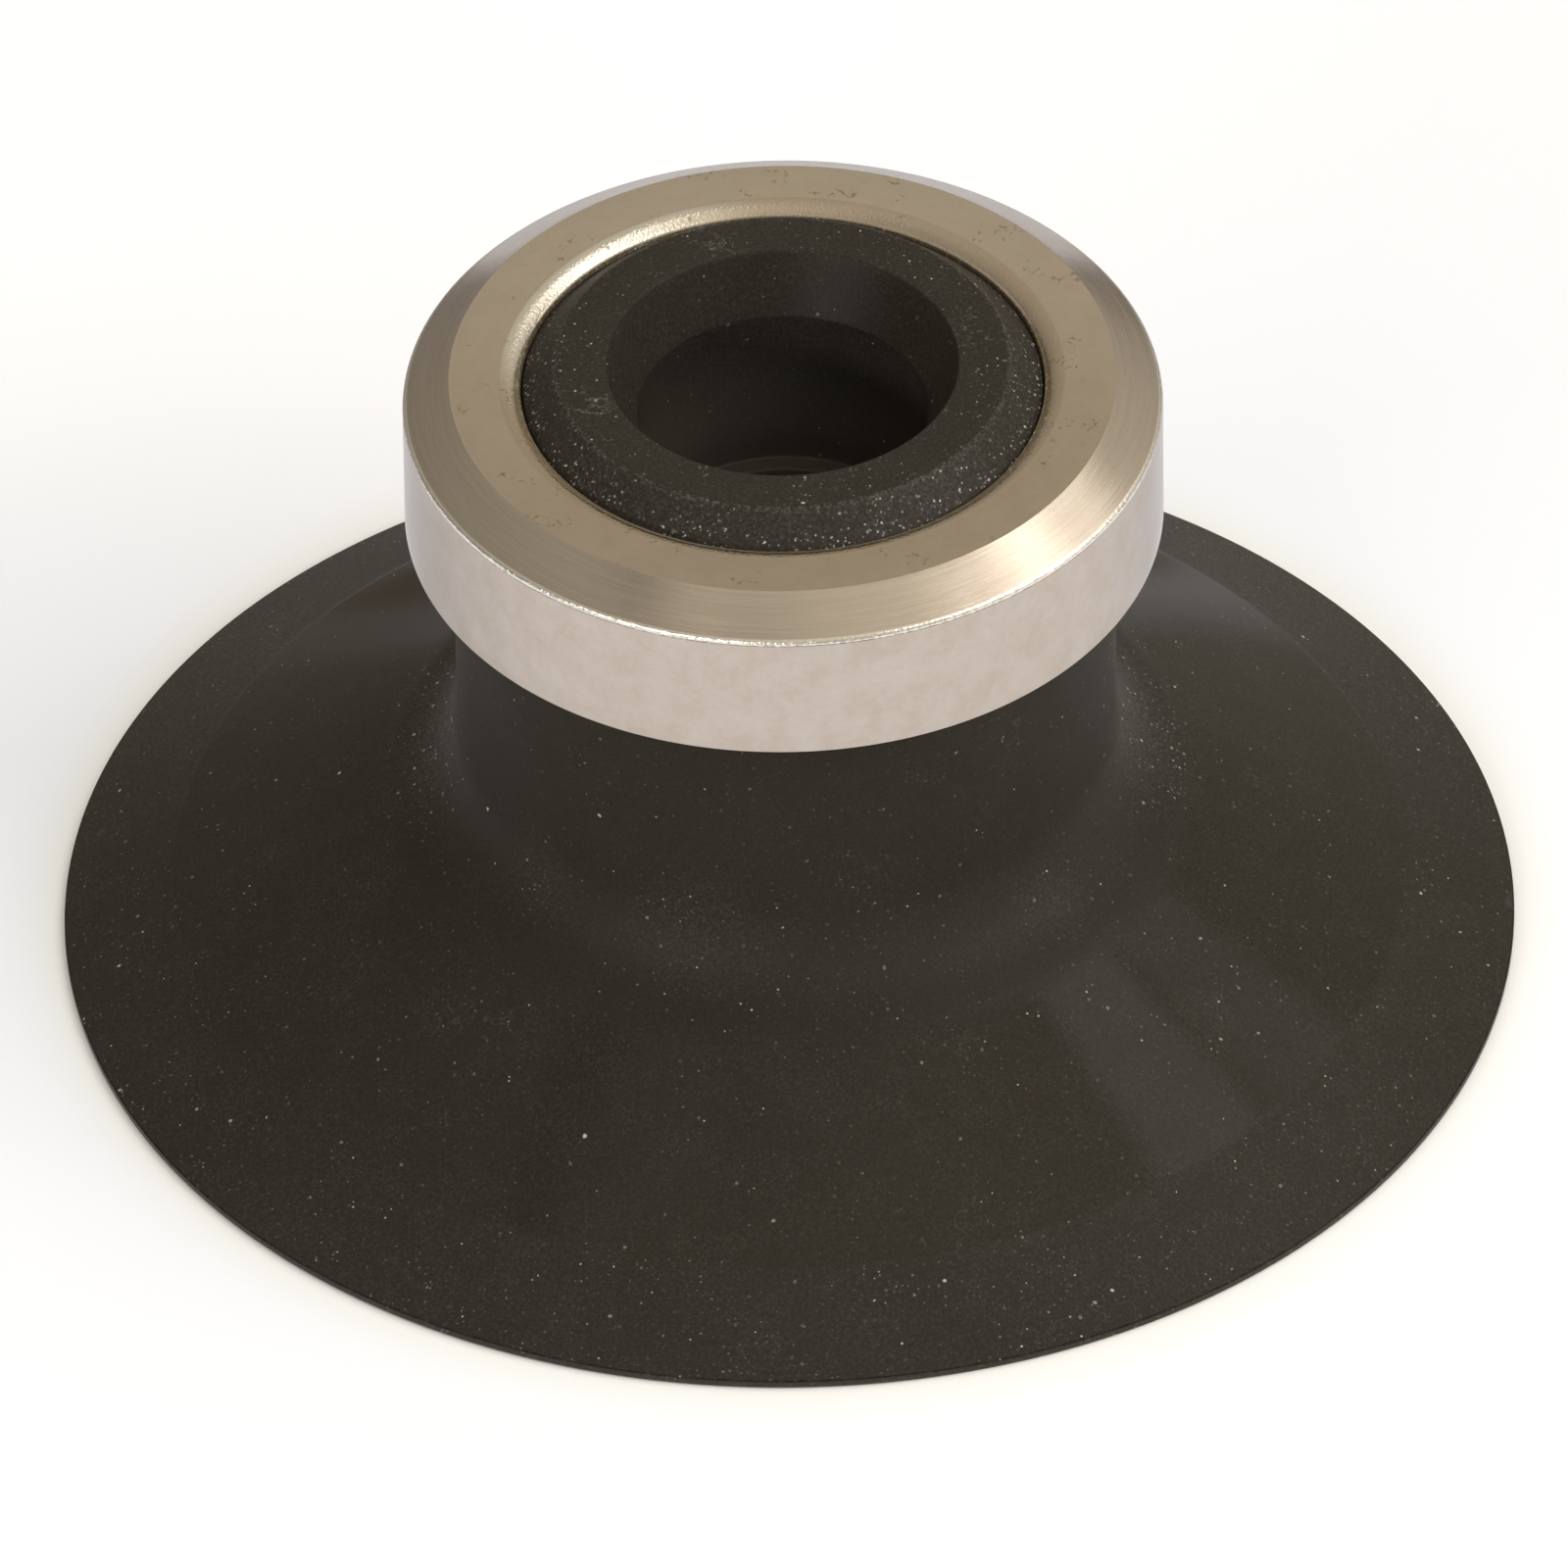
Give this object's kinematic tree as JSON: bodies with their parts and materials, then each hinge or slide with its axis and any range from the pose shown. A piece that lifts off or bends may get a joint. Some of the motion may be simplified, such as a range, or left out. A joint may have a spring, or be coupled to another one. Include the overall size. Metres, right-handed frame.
{
  "type": "flat vacuum cup",
  "caption": "Round rubber suction cup with a thin conical skirt and a thick neck held by a turned metal ring; pushes onto a nipple to lift flat workpieces by vacuum.",
  "frame": {"origin": "centre of the sealing plane, where the lip meets the workpiece", "axes": "+Z along the cup's axis, from the workpiece towards the nipple socket"},
  "size_m": [0.06, 0.06, 0.0297],
  "materials": {
    "cup_rubber": "semi-gloss black-brown moulded rubber, lightly dusty",
    "ring_nickel": "turned steel with bright nickel plating"
  },
  "bodies": {
    "neck": {"cup_neck": "cup_rubber"},
    "skirt": {"cup_skirt": "cup_rubber"},
    "ring": {"retaining_ring": "ring_nickel"}
  },
  "joints": [
    {"name": "skirt_stroke", "type": "slide", "parent": "neck", "child": "skirt", "axis": [0, 0, 1], "range_m": [0, 0.0045], "stiffness_N_per_m": 3000},
    {"name": "ring_pull_off", "type": "slide", "parent": "neck", "child": "ring", "axis": [0, 0, 1], "range_m": [0, 0.0065]}
  ]
}
